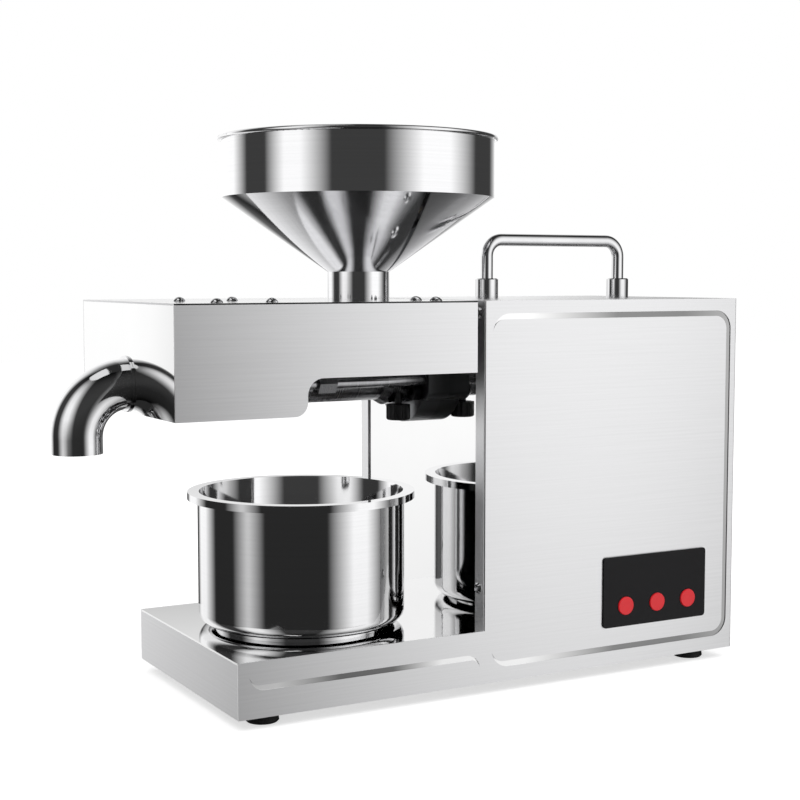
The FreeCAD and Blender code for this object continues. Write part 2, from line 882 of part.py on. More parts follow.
def band_heater():
    """Split steel band clamped on the barrel, with its ears and their screw on top."""
    x0 = hanger_right + heater_gap
    x1 = x0 + heater_width
    top = axis_z + barrel_outer
    band = tube_x(x0, x1, 0, axis_z, barrel_outer + heater_thick, barrel_outer + fit)
    ears = block(x0 + heater_ear_inset, x1 - heater_ear_inset, -heater_ear_half, heater_ear_half,
                 top + fit, top + heater_ear_rise)
    band = band.fuse(ears).removeSplitter()
    band = band.cut(along_x(x0 - 1, x1 + 1, 0, axis_z, barrel_outer + fit))
    half_split = heater_split / 2
    band = band.cut(block(x0 - 1, x1 + 1, -half_split, half_split, axis_z, top + 2 * heater_ear_rise))
    x = (x0 + x1) / 2
    z = top + heater_screw_rise
    band = band.cut(along_y(-heater_ear_half - 1, heater_ear_half + 1, x, z, heater_screw + fit))
    head = along_y(-heater_ear_half - heater_screw_head_height, -heater_ear_half, x, z, heater_screw_head)
    shank = along_y(-heater_ear_half, heater_ear_half + heater_screw_tail, x, z, heater_screw)
    return group([band, head.fuse(shank)])


def temperature_probe():
    """Sensor button held against the barrel between the heater and the oil slots."""
    x = hanger_right + heater_gap + heater_width + probe_gap
    body = along_y(-barrel_outer - probe_length, 0, x, axis_z, probe_radius)
    return body.cut(along_x(x - 2 * probe_radius, x + 2 * probe_radius, 0, axis_z, barrel_outer))


def feed_throat():
    """Chimney from the barrel's port to the arm's top, where the hopper's spigot plugs in."""
    pocket = arm_ceiling - spigot_length - throat_gap
    body = along_z(axis_z, arm_ceiling, feed, 0, throat_outer)
    body = body.cut(along_z(pocket, arm_ceiling + 1, feed, 0, spigot_radius + fit))
    funnel = Part.makeCone(feed_port, spigot_radius, throat_funnel,
                           Vector(feed, 0, pocket - throat_funnel), Vector(0, 0, 1))
    body = body.cut(funnel).cut(along_z(axis_z - 1, arm_ceiling, feed, 0, feed_port))
    return body.cut(turned_x(barrel_profile(0.0), axis_z))


def knob_place():
    return seat_left - knob_from_seat, -knob_aside


def lock_knob():
    """Fluted knob under the barrel's flange; its stem clamps the barrel in the seat."""
    x, y = knob_place()
    top = axis_z - barrel_flange + knob_lift
    bottom = top - knob_height
    body = along_z(bottom, top, x, y, knob_radius)
    rim = [e for e in body.Edges if e.CenterOfMass.z < bottom + 0.1 and e.Length > knob_radius]
    body = body.makeFillet(knob_edge, rim[:1])
    for i in range(knob_flutes):
        angle = 2 * math.pi * i / knob_flutes
        flute_x = x + (knob_radius + knob_flute / 2) * math.cos(angle)
        flute_y = y + (knob_radius + knob_flute / 2) * math.sin(angle)
        body = body.cut(along_z(bottom - 1, top + 1, flute_x, flute_y, knob_flute))
    return body.fuse(along_z(top, axis_z - knob_stem_depth, x, y, knob_stem)).removeSplitter()


def screw_root():
    """Turned core: thin under the feed, thick towards the outlet, with a seal and a neck behind."""
    start = barrel_left + screw_gap
    end = seat_left - barrel_flange_length - barrel_taper
    profile = [(start - screw_tip, 0.0), (start - screw_tip, root_press - screw_tip_taper),
               (start, root_press), (start + screw_press_length, root_press),
               (feed - screw_feed_clear, root_feed), (end - screw_seal_taper, root_feed),
               (end, flight_radius), (end + screw_seal, flight_radius), (end + screw_seal, screw_neck),
               (socket_left, screw_neck), (socket_left, 0.0)]
    return turned_x(profile, axis_z)


def screw_flight():
    """Helical flight with a trapezium section, swept as one solid a little below the barrel's bore."""
    start = barrel_left + screw_gap
    end = seat_left - barrel_flange_length - barrel_taper
    inner = root_feed - flight_sink
    outer = flight_radius - fit
    helix = Part.makeHelix(flight_pitch, end - start - screw_gap - flight_foot, flight_radius)
    corners = [Vector(inner, 0, -flight_foot / 2), Vector(outer, 0, -flight_tip / 2),
               Vector(outer, 0, flight_tip / 2), Vector(inner, 0, flight_foot / 2)]
    section = Part.makePolygon(corners + corners[:1])
    flight = Part.Wire(helix.Edges).makePipeShell([section], True, True)
    flight.rotate(Vector(0, 0, 0), Vector(0, 1, 0), 90)
    flight.translate(Vector(start + (screw_gap + flight_foot) / 2, 0, axis_z))
    return flight


def press_screw():
    """Screw with a root that grows towards the outlet, so each turn holds less room than the last."""
    tang_end = socket_left + socket_depth - screw_tang_gap
    tang = hexagon_x(socket_left, tang_end, 0, axis_z, socket_flats - 4 * fit)
    return screw_root().fuse([screw_flight(), tang]).removeSplitter()


# ---- Gear train

def gear_blank(teeth, module, x0, x1, z, tooth_up):
    """Involute gear on an axis along X; tooth_up puts a tooth, else a gap, at the top."""
    pitch_r = module * teeth / 2
    base_r = pitch_r * math.cos(pressure_angle)
    root_r = pitch_r - 1.25 * module
    tip_r = pitch_r + module
    half = math.pi / (2 * teeth) - backlash / (4 * pitch_r)

    def half_angle(r):
        local = math.acos(min(1.0, base_r / r))
        return half + math.tan(pressure_angle) - pressure_angle - math.tan(local) + local

    start_r = max(base_r, root_r)
    radii = [start_r, (start_r + tip_r) / 2, tip_r]
    flank = [(r, half_angle(r)) for r in radii]
    if base_r > root_r:
        flank.insert(0, (root_r, half_angle(base_r)))
    points = []
    for i in range(teeth):
        centre = 2 * math.pi * (i + (0.0 if tooth_up else 0.5)) / teeth
        for r, angle in flank:
            points.append((r, centre - angle))
        for r, angle in reversed(flank):
            points.append((r, centre + angle))
    corners = [Vector(x0, -r * math.sin(a), z + r * math.cos(a)) for r, a in points]
    return Part.Face(Part.makePolygon(corners + corners[:1])).extrude(Vector(x1 - x0, 0, 0))


def gear(teeth, module, x0, x1, z, tooth_up, bore, hub):
    """Wheel with a recessed web between its hub and its toothed rim, and round lightening holes."""
    rim = module * (teeth / 2 - gear_rim)
    body = gear_blank(teeth, module, x0, x1, z, tooth_up)
    recess = (x1 - x0) / 4
    for a, b in ((x0 - 1, x0 + recess), (x1 - recess, x1 + 1)):
        body = body.cut(tube_x(a, b, 0, z, rim, hub))
    ring = (rim + hub) / 2
    hole = min(gear_hole, (rim - hub) / 2 - gear_hole_margin)
    for i in range(gear_holes):
        angle = 2 * math.pi * i / gear_holes
        body = body.cut(along_x(x0 - 1, x1 + 1, ring * math.sin(angle), z + ring * math.cos(angle), hole))
    return body.cut(along_x(x0 - 1, x1 + 1, 0, z, bore + fit))


def tooth_opposite(teeth):
    """Whether a gear with a gap facing down shows a tooth at the top."""
    return teeth % 2 == 1


def output_gear():
    return gear(output_teeth, module_1, plane_b, plane_b + face_1, axis_z, tooth_opposite(output_teeth),
                output_shaft_radius, output_hub)


def output_shaft():
    """Hollow shaft; its hexagon socket takes the screw's drive tang."""
    body = along_x(socket_left + fit, cover_right - shaft_end_gap, 0, axis_z, output_shaft_radius)
    shoulder = along_x(cavity_left + shoulder_gap, plane_b, 0, axis_z, output_shaft_radius + shaft_shoulder)
    body = body.fuse(shoulder).removeSplitter()
    return body.cut(hexagon_x(socket_left - 1, socket_left + socket_depth, 0, axis_z, socket_flats))


def output_bearings():
    """Bearings in the housing's wall and in its cover, as plain rings."""
    outer = bearing_outer - fit
    inner = output_shaft_radius + fit
    return group([tube_x(housing_left, cavity_left, 0, axis_z, outer, inner),
                  tube_x(cavity_right, cover_right, 0, axis_z, outer, inner)])


def idler_shaft(z, x0, x1, module):
    body = along_x(housing_left, cover_right, 0, z, idler_shaft_radius)
    pinion = gear_blank(pinion_teeth, module, x0, x1, z, True)
    return body.fuse(pinion).removeSplitter()


def first_idler_shaft():
    return idler_shaft(idler_1_z, plane_b - pinion_proud, plane_b + face_1 + pinion_proud, module_1)


def first_idler_gear():
    return gear(idler_teeth, module_2, plane_a, plane_a + face_2, idler_1_z, tooth_opposite(idler_teeth),
                idler_shaft_radius, first_hub)


def second_idler_shaft():
    return idler_shaft(idler_2_z, plane_a - pinion_proud, plane_a + face_2 + pinion_proud, module_2)


def second_idler_gear():
    return gear(idler_teeth, module_3, plane_c, plane_c + face_3, idler_2_z, tooth_opposite(idler_teeth),
                idler_shaft_radius, second_hub)


def idler_bushes():
    outer = idler_shaft_radius + bush_wall
    bushes = []
    for z in (idler_1_z, idler_2_z):
        bushes.append(tube_x(housing_left, cavity_left, 0, z, outer, idler_shaft_radius + fit))
        bushes.append(tube_x(cavity_right, cover_right, 0, z, outer, idler_shaft_radius + fit))
    return group(bushes)


def train_circles(grow):
    """Centre heights and radii of the circles that wrap the gear train."""
    return [(axis_z, module_1 * (output_teeth / 2 + 1) + grow),
            (idler_1_z, module_2 * (idler_teeth / 2 + 1) + grow),
            (idler_2_z, module_3 * (idler_teeth / 2 + 1) + grow),
            (motor_z, module_3 * (pinion_teeth / 2 + 1) + motor_pinion_room + grow)]


def wrap(circle_a, circle_b, x0, x1):
    """Prism whose outline is a belt round two circles, one above the other."""
    (za, ra), (zb, rb) = circle_a, circle_b
    tilt = math.asin((ra - rb) / (za - zb))
    points = []
    for side in (-1, 1):
        ring = [(za, ra), (zb, rb)] if side < 0 else [(zb, rb), (za, ra)]
        for z, r in ring:
            points.append(Vector(x0, side * r * math.cos(tilt), z - r * math.sin(-tilt)))
    skirt = Part.Face(Part.makePolygon(points + points[:1])).extrude(Vector(x1 - x0, 0, 0))
    return [along_x(x0, x1, 0, za, ra), along_x(x0, x1, 0, zb, rb), skirt]


def train_outline(grow, x0, x1):
    circles = train_circles(grow)
    solids = []
    for upper, lower in zip(circles, circles[1:]):
        solids += wrap(upper, lower, x0, x1)
    return fuse(solids)


def lug_places():
    """Screw lugs on both sides of the three upper circles."""
    circles = train_circles(gear_clear + housing_rim + lug_overlap)
    return [(side * radius, z) for z, radius in circles[:3] for side in (-1, 1)]


def gearbox_housing():
    """Cast tray behind the tower's plate, open towards its cover."""
    outer = train_outline(gear_clear + housing_rim, housing_left, cavity_right)
    lugs = [along_x(cavity_right - lug_length, cavity_right, y, z, lug_radius) for y, z in lug_places()]
    body = fuse([outer] + lugs).cut(train_outline(gear_clear, cavity_left, cavity_right + 1))
    body = body.cut(along_x(housing_left - 1, cavity_left + 1, 0, axis_z, bearing_outer))
    for z in (idler_1_z, idler_2_z):
        bush = idler_shaft_radius + bush_wall + fit
        body = body.cut(along_x(housing_left - 1, cavity_left + 1, 0, z, bush))
    for y, z in seat_bolt_places():
        body = body.cut(along_x(housing_left - 1, cavity_left + 1, y, z, seat_bolt + fit))
    hole_left = cavity_right - gearbox_screw_length - 1
    for y, z in lug_places():
        body = body.cut(along_x(hole_left, cavity_right + 1, y, z, gearbox_screw + fit))
    return body


def gearbox_cover():
    x0 = cavity_right - 1
    x1 = cover_right + 1
    body = fuse([train_outline(gear_clear + housing_rim, cavity_right, cover_right)]
                + [along_x(cavity_right, cover_right, y, z, lug_radius) for y, z in lug_places()])
    body = body.cut(along_x(x0, x1, 0, axis_z, bearing_outer))
    for z in (idler_1_z, idler_2_z):
        body = body.cut(along_x(x0, x1, 0, z, idler_shaft_radius + bush_wall + fit))
    body = body.cut(along_x(x0, x1, 0, motor_z, motor_boss + fit))
    for y, z in lug_places():
        body = body.cut(along_x(x0, x1, y, z, gearbox_screw + fit))
    return body


def gearbox_screws():
    screws = []
    head_right = cover_right + gearbox_screw_head_height
    for y, z in lug_places():
        head = along_x(cover_right, head_right, y, z, gearbox_screw_head)
        shank = along_x(cavity_right - gearbox_screw_length, cover_right, y, z, gearbox_screw)
        screws.append(head.fuse(shank))
    return group(screws)


# ---- Motor

def motor_can():
    """Drawn can with a closed face and a boss that centres it in the gearbox cover."""
    face_right = cover_right + motor_face
    wall = tube_x(cover_right, motor_right, 0, motor_z, motor_radius, motor_radius - motor_wall)
    face = tube_x(cover_right, face_right, 0, motor_z, motor_radius, motor_boss)
    boss = tube_x(cavity_right + motor_boss_gap, face_right, 0, motor_z, motor_boss, motor_bearing)
    return fuse([wall, face, boss])


def motor_bearings():
    outer = motor_bearing - fit
    inner = motor_shaft_radius + fit
    front_left = cavity_right + motor_boss_gap
    return group([tube_x(front_left, cover_right + motor_face, 0, motor_z, outer, inner),
                  tube_x(motor_right - motor_cap, motor_right, 0, motor_z, outer, inner)])


def motor_end_cap():
    """Cap with a ring of air holes and the rear bearing's seat."""
    x0 = motor_right - motor_cap
    body = tube_x(x0, motor_right, 0, motor_z, motor_radius - motor_wall - fit, motor_bearing)
    for i in range(cap_holes):
        angle = 2 * math.pi * (i + 0.5) / cap_holes
        y = cap_hole_ring * math.sin(angle)
        z = motor_z + cap_hole_ring * math.cos(angle)
        body = body.cut(along_x(x0 - 1, motor_right + 1, y, z, cap_hole))
    return body


def motor_magnets():
    """Two arc magnets inside the can."""
    x0 = cover_right + magnet_front_gap
    x1 = motor_right - motor_cap - magnet_rear_gap
    outer = motor_radius - motor_wall
    shell = tube_x(x0, x1, 0, motor_z, outer - fit, outer - magnet_thick)
    half = magnet_split / 2
    gap = block(x0 - 1, x1 + 1, -motor_radius, motor_radius, motor_z - half, motor_z + half)
    return group(shell.cut(gap).Solids)


def motor_shaft():
    pinion_left = plane_c - pinion_proud
    body = along_x(pinion_left - pinion_proud, fan_left + fan_width, 0, motor_z, motor_shaft_radius)
    pinion = gear_blank(pinion_teeth, module_3, pinion_left, plane_c + face_3 + pinion_proud, motor_z, True)
    return body.fuse(pinion).removeSplitter()


def rotor_core():
    """Stack of laminations with round winding slots in its rim."""
    x0 = cover_right + rotor_gap
    x1 = x0 + rotor_length
    body = tube_x(x0, x1, 0, motor_z, rotor_radius, motor_shaft_radius + fit)
    for i in range(rotor_slots):
        angle = 2 * math.pi * i / rotor_slots
        y = rotor_radius * math.sin(angle)
        z = motor_z + rotor_radius * math.cos(angle)
        body = body.cut(along_x(x0 - 1, x1 + 1, y, z, rotor_slot))
    return body


def cooling_fan():
    """Radial fan pressed on the motor's tail, moulded as a hub, a disc and straight blades."""
    x1 = fan_left + fan_width
    hub = along_x(fan_left, x1, 0, motor_z, fan_hub)
    disc = along_x(fan_left, fan_left + fan_disc, 0, motor_z, fan_radius)
    blades = []
    for i in range(fan_blades):
        blade = block(fan_left, x1, -fan_blade / 2, fan_blade / 2,
                      motor_z + fan_blade_root, motor_z + fan_radius - fan_disc / 2)
        blade.rotate(Vector(fan_left, 0, motor_z), Vector(1, 0, 0), 360 * i / fan_blades)
        blades.append(blade)
    body = fuse([hub, disc] + blades)
    return body.cut(along_x(fan_left - 1, x1 + 1, 0, motor_z, motor_shaft_radius + fit))


def motor_cradle():
    """Saddle under the motor, hollowed from side to side between two upright walls."""
    x0 = (cover_right + motor_right - cradle_width) / 2
    x1 = x0 + cradle_width
    bottom = floor + sheet
    top = motor_z - motor_radius * cradle_wrap
    body = block(x0, x1, -cradle_half, cradle_half, bottom, top)
    body = body.cut(along_x(x0 - 1, x1 + 1, 0, motor_z, motor_radius + fit))
    return body.cut(block(x0 + cradle_wall, x1 - cradle_wall, -cradle_half - 1, cradle_half + 1,
                          bottom + cradle_floor, motor_z))


# ---- Handle

def handle_bar():
    """Round bar bent into a bridge, with both ends threaded down through the tower's top."""
    x0, x1 = handle_posts()
    top = roof + handle_rise
    bottom = roof - handle_stud
    r = handle_bend
    k = r * (1 - math.sqrt(0.5))
    corner_0 = Part.Arc(Vector(x0, 0, top - r), Vector(x0 + k, 0, top - k), Vector(x0 + r, 0, top))
    corner_1 = Part.Arc(Vector(x1 - r, 0, top), Vector(x1 - k, 0, top - k), Vector(x1, 0, top - r))
    edges = [Part.LineSegment(Vector(x0, 0, bottom), Vector(x0, 0, top - r)), corner_0,
             Part.LineSegment(Vector(x0 + r, 0, top), Vector(x1 - r, 0, top)), corner_1,
             Part.LineSegment(Vector(x1, 0, top - r), Vector(x1, 0, bottom))]
    ring = Part.Wire(Part.makeCircle(handle_bar_radius, Vector(x0, 0, bottom), Vector(0, 0, 1)))
    return Part.Wire([edge.toShape() for edge in edges]).makePipeShell([ring], True, False)


def handle_sleeves():
    sleeves = []
    top = roof + handle_sleeve_height
    for x in handle_posts():
        sleeve = tube_z(roof, top, x, 0, handle_sleeve, handle_bar_radius + fit)
        rim = [e for e in sleeve.Edges if e.CenterOfMass.z > top - 0.1
               and e.Length > 2 * math.pi * handle_sleeve - 1]
        sleeves.append(sleeve.makeChamfer(handle_sleeve_edge, rim))
    return group(sleeves)


def handle_nuts():
    nuts = []
    z0 = arm_ceiling - handle_nut_height
    for x in handle_posts():
        nut = hexagon_z(z0, arm_ceiling, x, 0, handle_nut_flats)
        nuts.append(nut.cut(along_z(z0 - 1, arm_ceiling + 1, x, 0, handle_bar_radius + fit)))
    return group(nuts)


# ---- Hopper, cup and elbow

def hopper_lines():
    foot = roof + collar_height
    slope = hopper_cone / (hopper_rim - collar_radius)
    return foot, slope


def hopper_bowl():
    """Spun bowl: a cone, an upright band and a rolled bead at the rim."""
    foot, slope = hopper_lines()
    rise = hopper_wall * math.sqrt(1 + slope * slope)
    top = foot + hopper_cone + hopper_band
    inner = hopper_rim - hopper_wall
    mouth = foot + slope * (feed_bore - collar_radius)
    profile = [(feed_bore, mouth), (hopper_rim, foot + hopper_cone), (hopper_rim, top), (inner, top),
               (inner, foot + slope * (inner - collar_radius) + rise), (feed_bore, mouth + rise)]
    body = turned_z(profile, feed, 0)
    bead_z = top - bead_sink
    bead_ring = hopper_rim + hopper_bead - bead_sink
    bead = Part.makeTorus(bead_ring, hopper_bead, Vector(feed, 0, bead_z), Vector(0, 0, 1))
    return body.fuse(bead).removeSplitter()


def hopper_collar():
    """Turned neck that stands on the arm, with a spigot that plugs into the throat."""
    foot, slope = hopper_lines()
    mouth = foot + slope * (feed_bore - collar_radius)
    tip = roof - spigot_length
    profile = [(feed_bore, tip), (spigot_radius, tip), (spigot_radius, roof),
               (collar_radius, roof), (collar_radius, foot), (feed_bore, mouth)]
    return turned_z(profile, feed, 0)


def cup_pot(foot_bottom, body_bottom, top, foot, radius, corner):
    """Round pot: a stepped foot and an upright wall with a rounded lower corner."""
    body = along_z(body_bottom, top, cup, 0, radius)
    low = [e for e in body.Edges if e.CenterOfMass.z < body_bottom + 0.1 and e.Length > radius]
    body = body.makeFillet(corner, low[:1])
    return body.fuse(along_z(foot_bottom, body_bottom + cup_wall, cup, 0, foot)).removeSplitter()


def oil_cup():
    """Drawn pot with a stepped foot, a rounded corner and a flat lip with a turned-down edge."""
    top = deck + cup_height
    step = deck + cup_foot_height
    w = cup_wall
    foot = cup_radius - cup_corner - cup_foot_step
    outer = cup_pot(deck, step, top, foot, cup_radius, cup_corner)
    inner = cup_pot(deck + w, step + w, top + 1, foot - w, cup_radius - w, cup_corner - w)
    lip = tube_z(top - w, top, cup, 0, cup_rim, cup_radius - w)
    edge = tube_z(top - cup_lip_drop, top, cup, 0, cup_rim, cup_rim - w)
    return outer.fuse([lip, edge]).removeSplitter().cut(inner)


def elbow_path(start):
    x = arm_left
    z = axis_z
    r = elbow_bend
    k = r * (1 - math.sqrt(0.5))
    end = z - r - elbow_drop
    edges = [Part.LineSegment(Vector(start, 0, z), Vector(x, 0, z)),
             Part.Arc(Vector(x, 0, z), Vector(x - r + k, 0, z - k), Vector(x - r, 0, z - r)),
             Part.LineSegment(Vector(x - r, 0, z - r), Vector(x - r, 0, end))]
    return Part.Wire([edge.toShape() for edge in edges])


def elbow_solid(radius, start):
    ring = Part.Wire(Part.makeCircle(radius, Vector(start, 0, axis_z), Vector(-1, 0, 0)))
    return elbow_path(start).makePipeShell([ring], True, False)


def cake_elbow():
    start = arm_left + elbow_spigot
    body = elbow_solid(elbow_outer, start)
    collar_right = arm_left - 2 * fit
    collar = along_x(collar_right - elbow_collar_length, collar_right, 0, axis_z, elbow_collar)
    body = body.fuse(collar).removeSplitter()
    return body.cut(elbow_solid(elbow_outer - elbow_wall, start))


# ---- Controls

def button_places():
    first = tower_left + panel_left + button_first
    height = floor + panel_bottom + button_height
    return [(first + i * button_pitch, height) for i in range(len(buttons))]


def control_panel():
    """Moulded bezel: a glossy plate outside, a plug through the window and three button bores."""
    body = panel_box(0.0, front - panel_proud, front)
    plug_back = front + panel_back
    body = body.fuse(panel_box(window_margin + plug_gap, front, plug_back)).removeSplitter()
    for x, z in button_places():
        body = body.cut(along_y(front - panel_proud - 1, plug_back + 1, x, z, button_radius + button_gap))
        body = body.cut(along_y(front + button_flange_thick, plug_back + 1, x, z,
                                button_flange + button_flange_gap))
    pin_end = front + board_gap + board_thick + 1
    pillars = []
    for x, z in board_corners():
        pillars.append(along_y(plug_back, front + board_gap, x, z, pillar_radius))
        pillars.append(along_y(front + board_gap, pin_end, x, z, pillar_pin))
    return body.fuse(pillars).removeSplitter()


def push_button(index):
    """Round cap with a flange behind the bezel and a stem that reaches its key switch."""
    x, z = button_places()[index]
    face = front - panel_proud - button_proud
    flange_front = front + button_flange_thick + fit
    flange_back = flange_front + button_flange_thick
    stem_end = front + board_gap - switch_body - button_travel - switch_gap
    head = along_y(face, flange_front + fit, x, z, button_radius)
    rim = [e for e in head.Edges if e.CenterOfMass.y < face + 0.1 and e.Length > button_radius]
    head = head.makeFillet(button_edge, rim[:1])
    flange = along_y(flange_front, flange_back, x, z, button_flange)
    stem = along_y(flange_back, stem_end, x, z, button_stem)
    return head.fuse([flange, stem]).removeSplitter()


def board_edges():
    inset = window_margin + board_inset
    x0 = tower_left + panel_left + inset
    z0 = floor + panel_bottom + inset
    return x0, x0 + panel_width - 2 * inset, z0, z0 + panel_height - 2 * inset


def board_corners():
    x0, x1, z0, z1 = board_edges()
    return [(x, z) for x in (x0 + pillar_inset, x1 - pillar_inset)
            for z in (z0 + pillar_inset, z1 - pillar_inset)]


def control_board():
    """Circuit board on the bezel's pillars, with one key switch behind each button."""
    x0, x1, z0, z1 = board_edges()
    y0 = front + board_gap
    y1 = y0 + board_thick
    board = block(x0, x1, y0, y1, z0, z1)
    for x, z in board_corners():
        board = board.cut(along_y(y0 - 1, y1 + 1, x, z, pillar_pin + fit))
    half = switch_size / 2
    switches = [block(x - half, x + half, y0 - switch_body, y0, z - half, z + half)
                for x, z in button_places()]
    return group([board] + switches)


def power_inlet():
    """Three-pin appliance inlet, screwed to the back panel; its cord is separate."""
    x, z = inlet_centre()
    half_w = inlet_width / 2
    half_t = inlet_tall / 2
    face = back + inlet_plate_thick
    deep = back - inlet_depth
    plate_t = half_t + inlet_plate_margin
    plate = rounded_xz(x - inlet_plate / 2, x + inlet_plate / 2, z - plate_t, z + plate_t,
                       inlet_plate_corner, back, face)
    shell = block(x - half_w, x + half_w, deep, face, z - half_t, z + half_t)
    body = plate.fuse(shell).removeSplitter()
    body = body.cut(block(x - half_w + inlet_wall, x + half_w - inlet_wall, deep + inlet_bottom, face + 1,
                          z - half_t + inlet_wall, z + half_t - inlet_wall))
    pins = []
    for side, rise in ((-1, -inlet_pin_step), (0, inlet_pin_step), (1, -inlet_pin_step)):
        pin_x = x + side * inlet_pin_spread
        pins.append(block(pin_x - inlet_pin_wide / 2, pin_x + inlet_pin_wide / 2,
                          deep + inlet_bottom - 1, back - inlet_pin_drop,
                          z + rise - inlet_pin_tall / 2, z + rise + inlet_pin_tall / 2))
    body = body.fuse(pins).removeSplitter()
    for side in (-1, 1):
        hole_x = x + side * inlet_screw_pitch / 2
        body = body.cut(along_y(back - 1, face + 1, hole_x, z, inlet_screw + fit))
    return body


def inlet_screws():
    x, z = inlet_centre()
    face = back + inlet_plate_thick
    screws = []
    for side in (-1, 1):
        screw_x = x + side * inlet_screw_pitch / 2
        head = along_y(face, face + inlet_screw_head_height, screw_x, z, inlet_screw_head)
        screws.append(head.fuse(along_y(back, face, screw_x, z, inlet_screw)))
    return group(screws)


parts = {
    "front_panel": front_panel, "back_panel": back_panel, "bottom_plate": bottom_plate,
    "base_top_plate": base_top_plate, "base_end_plate": base_end_plate,
    "tower_left_plate": tower_left_plate, "tower_right_plate": tower_right_plate,
    "tower_top_plate": tower_top_plate, "flange_screws": flange_screws,
    "feet": feet, "foot_screws": foot_screws,
    "arm_cover": arm_cover, "arm_end_plate": arm_end_plate, "arm_screws": arm_screws,
    "barrel_hanger": barrel_hanger, "cover_bracket": cover_bracket,
    "connecting_seat": connecting_seat, "seat_bolts": seat_bolts,
    "press_barrel": press_barrel, "choke_nut": choke_nut, "tie_rods": tie_rods, "tie_nuts": tie_nuts,
    "band_heater": band_heater, "temperature_probe": temperature_probe,
    "feed_throat": feed_throat, "lock_knob": lock_knob,
    "press_screw": press_screw, "output_shaft": output_shaft, "output_gear": output_gear,
    "output_bearings": output_bearings,
    "first_idler_shaft": first_idler_shaft, "first_idler_gear": first_idler_gear,
    "second_idler_shaft": second_idler_shaft, "second_idler_gear": second_idler_gear,
    "idler_bushes": idler_bushes,
    "gearbox_housing": gearbox_housing, "gearbox_cover": gearbox_cover, "gearbox_screws": gearbox_screws,
    "motor_can": motor_can, "motor_bearings": motor_bearings, "motor_end_cap": motor_end_cap,
    "motor_magnets": motor_magnets, "motor_shaft": motor_shaft, "rotor_core": rotor_core,
    "cooling_fan": cooling_fan, "motor_cradle": motor_cradle,
    "handle_bar": handle_bar, "handle_sleeves": handle_sleeves, "handle_nuts": handle_nuts,
    "hopper_bowl": hopper_bowl, "hopper_collar": hopper_collar, "oil_cup": oil_cup,
    "cake_elbow": cake_elbow,
    "control_panel": control_panel, "control_board": control_board,
    "power_inlet": power_inlet, "inlet_screws": inlet_screws,
}
buttons = ("heat_button", "press_button", "reverse_button")

os.makedirs("parts", exist_ok=True)
for name, make in parts.items():
    make().exportStep("parts/" + name + ".step")
for index, name in enumerate(buttons):
    push_button(index).exportStep("parts/" + name + ".step")
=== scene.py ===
"""Looks of a countertop screw oil press: stainless sheet, spun and polished steel, a small key panel.

Everything is in metres. +X runs from the cake outlet to the motor tower, +Y from the front to the back
and +Z up, with the origin on the counter. Places are worked out from the boxes of the frame's nodes.
"""
import bpy
import math
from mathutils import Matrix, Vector


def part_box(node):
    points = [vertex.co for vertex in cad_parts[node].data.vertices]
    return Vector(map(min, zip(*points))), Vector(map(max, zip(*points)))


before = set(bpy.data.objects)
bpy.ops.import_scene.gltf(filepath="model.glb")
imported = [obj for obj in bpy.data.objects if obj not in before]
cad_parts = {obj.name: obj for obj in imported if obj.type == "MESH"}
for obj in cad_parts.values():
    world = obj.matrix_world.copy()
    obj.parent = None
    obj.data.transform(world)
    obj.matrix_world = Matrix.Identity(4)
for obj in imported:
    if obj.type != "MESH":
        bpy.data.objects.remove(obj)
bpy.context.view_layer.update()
MM = 0.001


# ---- Camera

def place_camera():
    """Stands in front of the left corner, a little above the cup, and looks slightly down."""
    camera = bpy.data.objects.new("camera", bpy.data.cameras.new("camera"))
    camera.data.sensor_width = 36.0
    camera.data.lens = 68.28
    camera.data.clip_start = 0.05
    camera.location = (-0.5184, -0.9519, 0.2861)
    camera.rotation_euler = (math.radians(85.31), 0.0, math.radians(-29.0))
    bpy.context.scene.collection.objects.link(camera)
    bpy.context.scene.camera = camera


# ---- Small helpers for colours and nodes

def linear(text):
    """Linear colour from an sRGB hex text."""
    channels = [int(text[i:i + 2], 16) / 255 for i in (1, 3, 5)]
    return tuple(c / 12.92 if c <= 0.04045 else ((c + 0.055) / 1.055) ** 2.4 for c in channels) + (1.0,)


def grey(level):
    return (level, level, level, 1.0)


def add(tree, kind, inputs=None, stops=(), **settings):
    """Adds a node; inputs gives each socket a value or another node's output, stops a ramp's colours."""
    made = tree.nodes.new(kind)
    for name, value in settings.items():
        setattr(made, name, value)
    for socket, value in (inputs or {}).items():
        if isinstance(value, bpy.types.NodeSocket):
            tree.links.new(value, made.inputs[socket])
        else:
            made.inputs[socket].default_value = value
    if stops:
        elements = made.color_ramp.elements
        while len(elements) < len(stops):
            elements.new(0.5)
        for element, (position, colour) in zip(elements, stops):
            element.position = position
            element.color = colour
    return made


def empty_material(name):
    """Material with no nodes yet, and its tree."""
    material = bpy.data.materials.new(name)
    material.use_nodes = True
    material.node_tree.nodes.clear()
    return material, material.node_tree


# ---- World, studio walls and floor

CAMERA_SIDE = (-0.4848, -0.8746, 0.0)
CAMERA_RIGHT = (0.8746, -0.4848, 0.0)
WALL_RADIUS = 0.8
WALL_BOTTOM = -1.6
WALL_TOP = 2.4
WALL_SIDES = 96
LOW_PANELS_END = 0.05
HIGH_PANELS_START = 0.35
# White panels of the studio at the height of the hopper and below the counter: left edge, its softness, right
# edge, its softness, all in degrees round the studio from the camera towards its right, and their level.
HIGH_PANELS = ((36, 32, 94, 32, 1.15), (155, 30, 253, 20, 1.15), (293, 18, 328, 24, 1.13))
LOW_PANELS = ((41, 30, 87, 26, 1.15), (128, 16, 210, 6, 0.12), (220, 12, 252, 20, 1.13),
              (296, 16, 315, 16, 0.66))
# Level of the dark flags between the panels.
HIGH_FLAG = 0.05
LOW_FLAG = 0.025
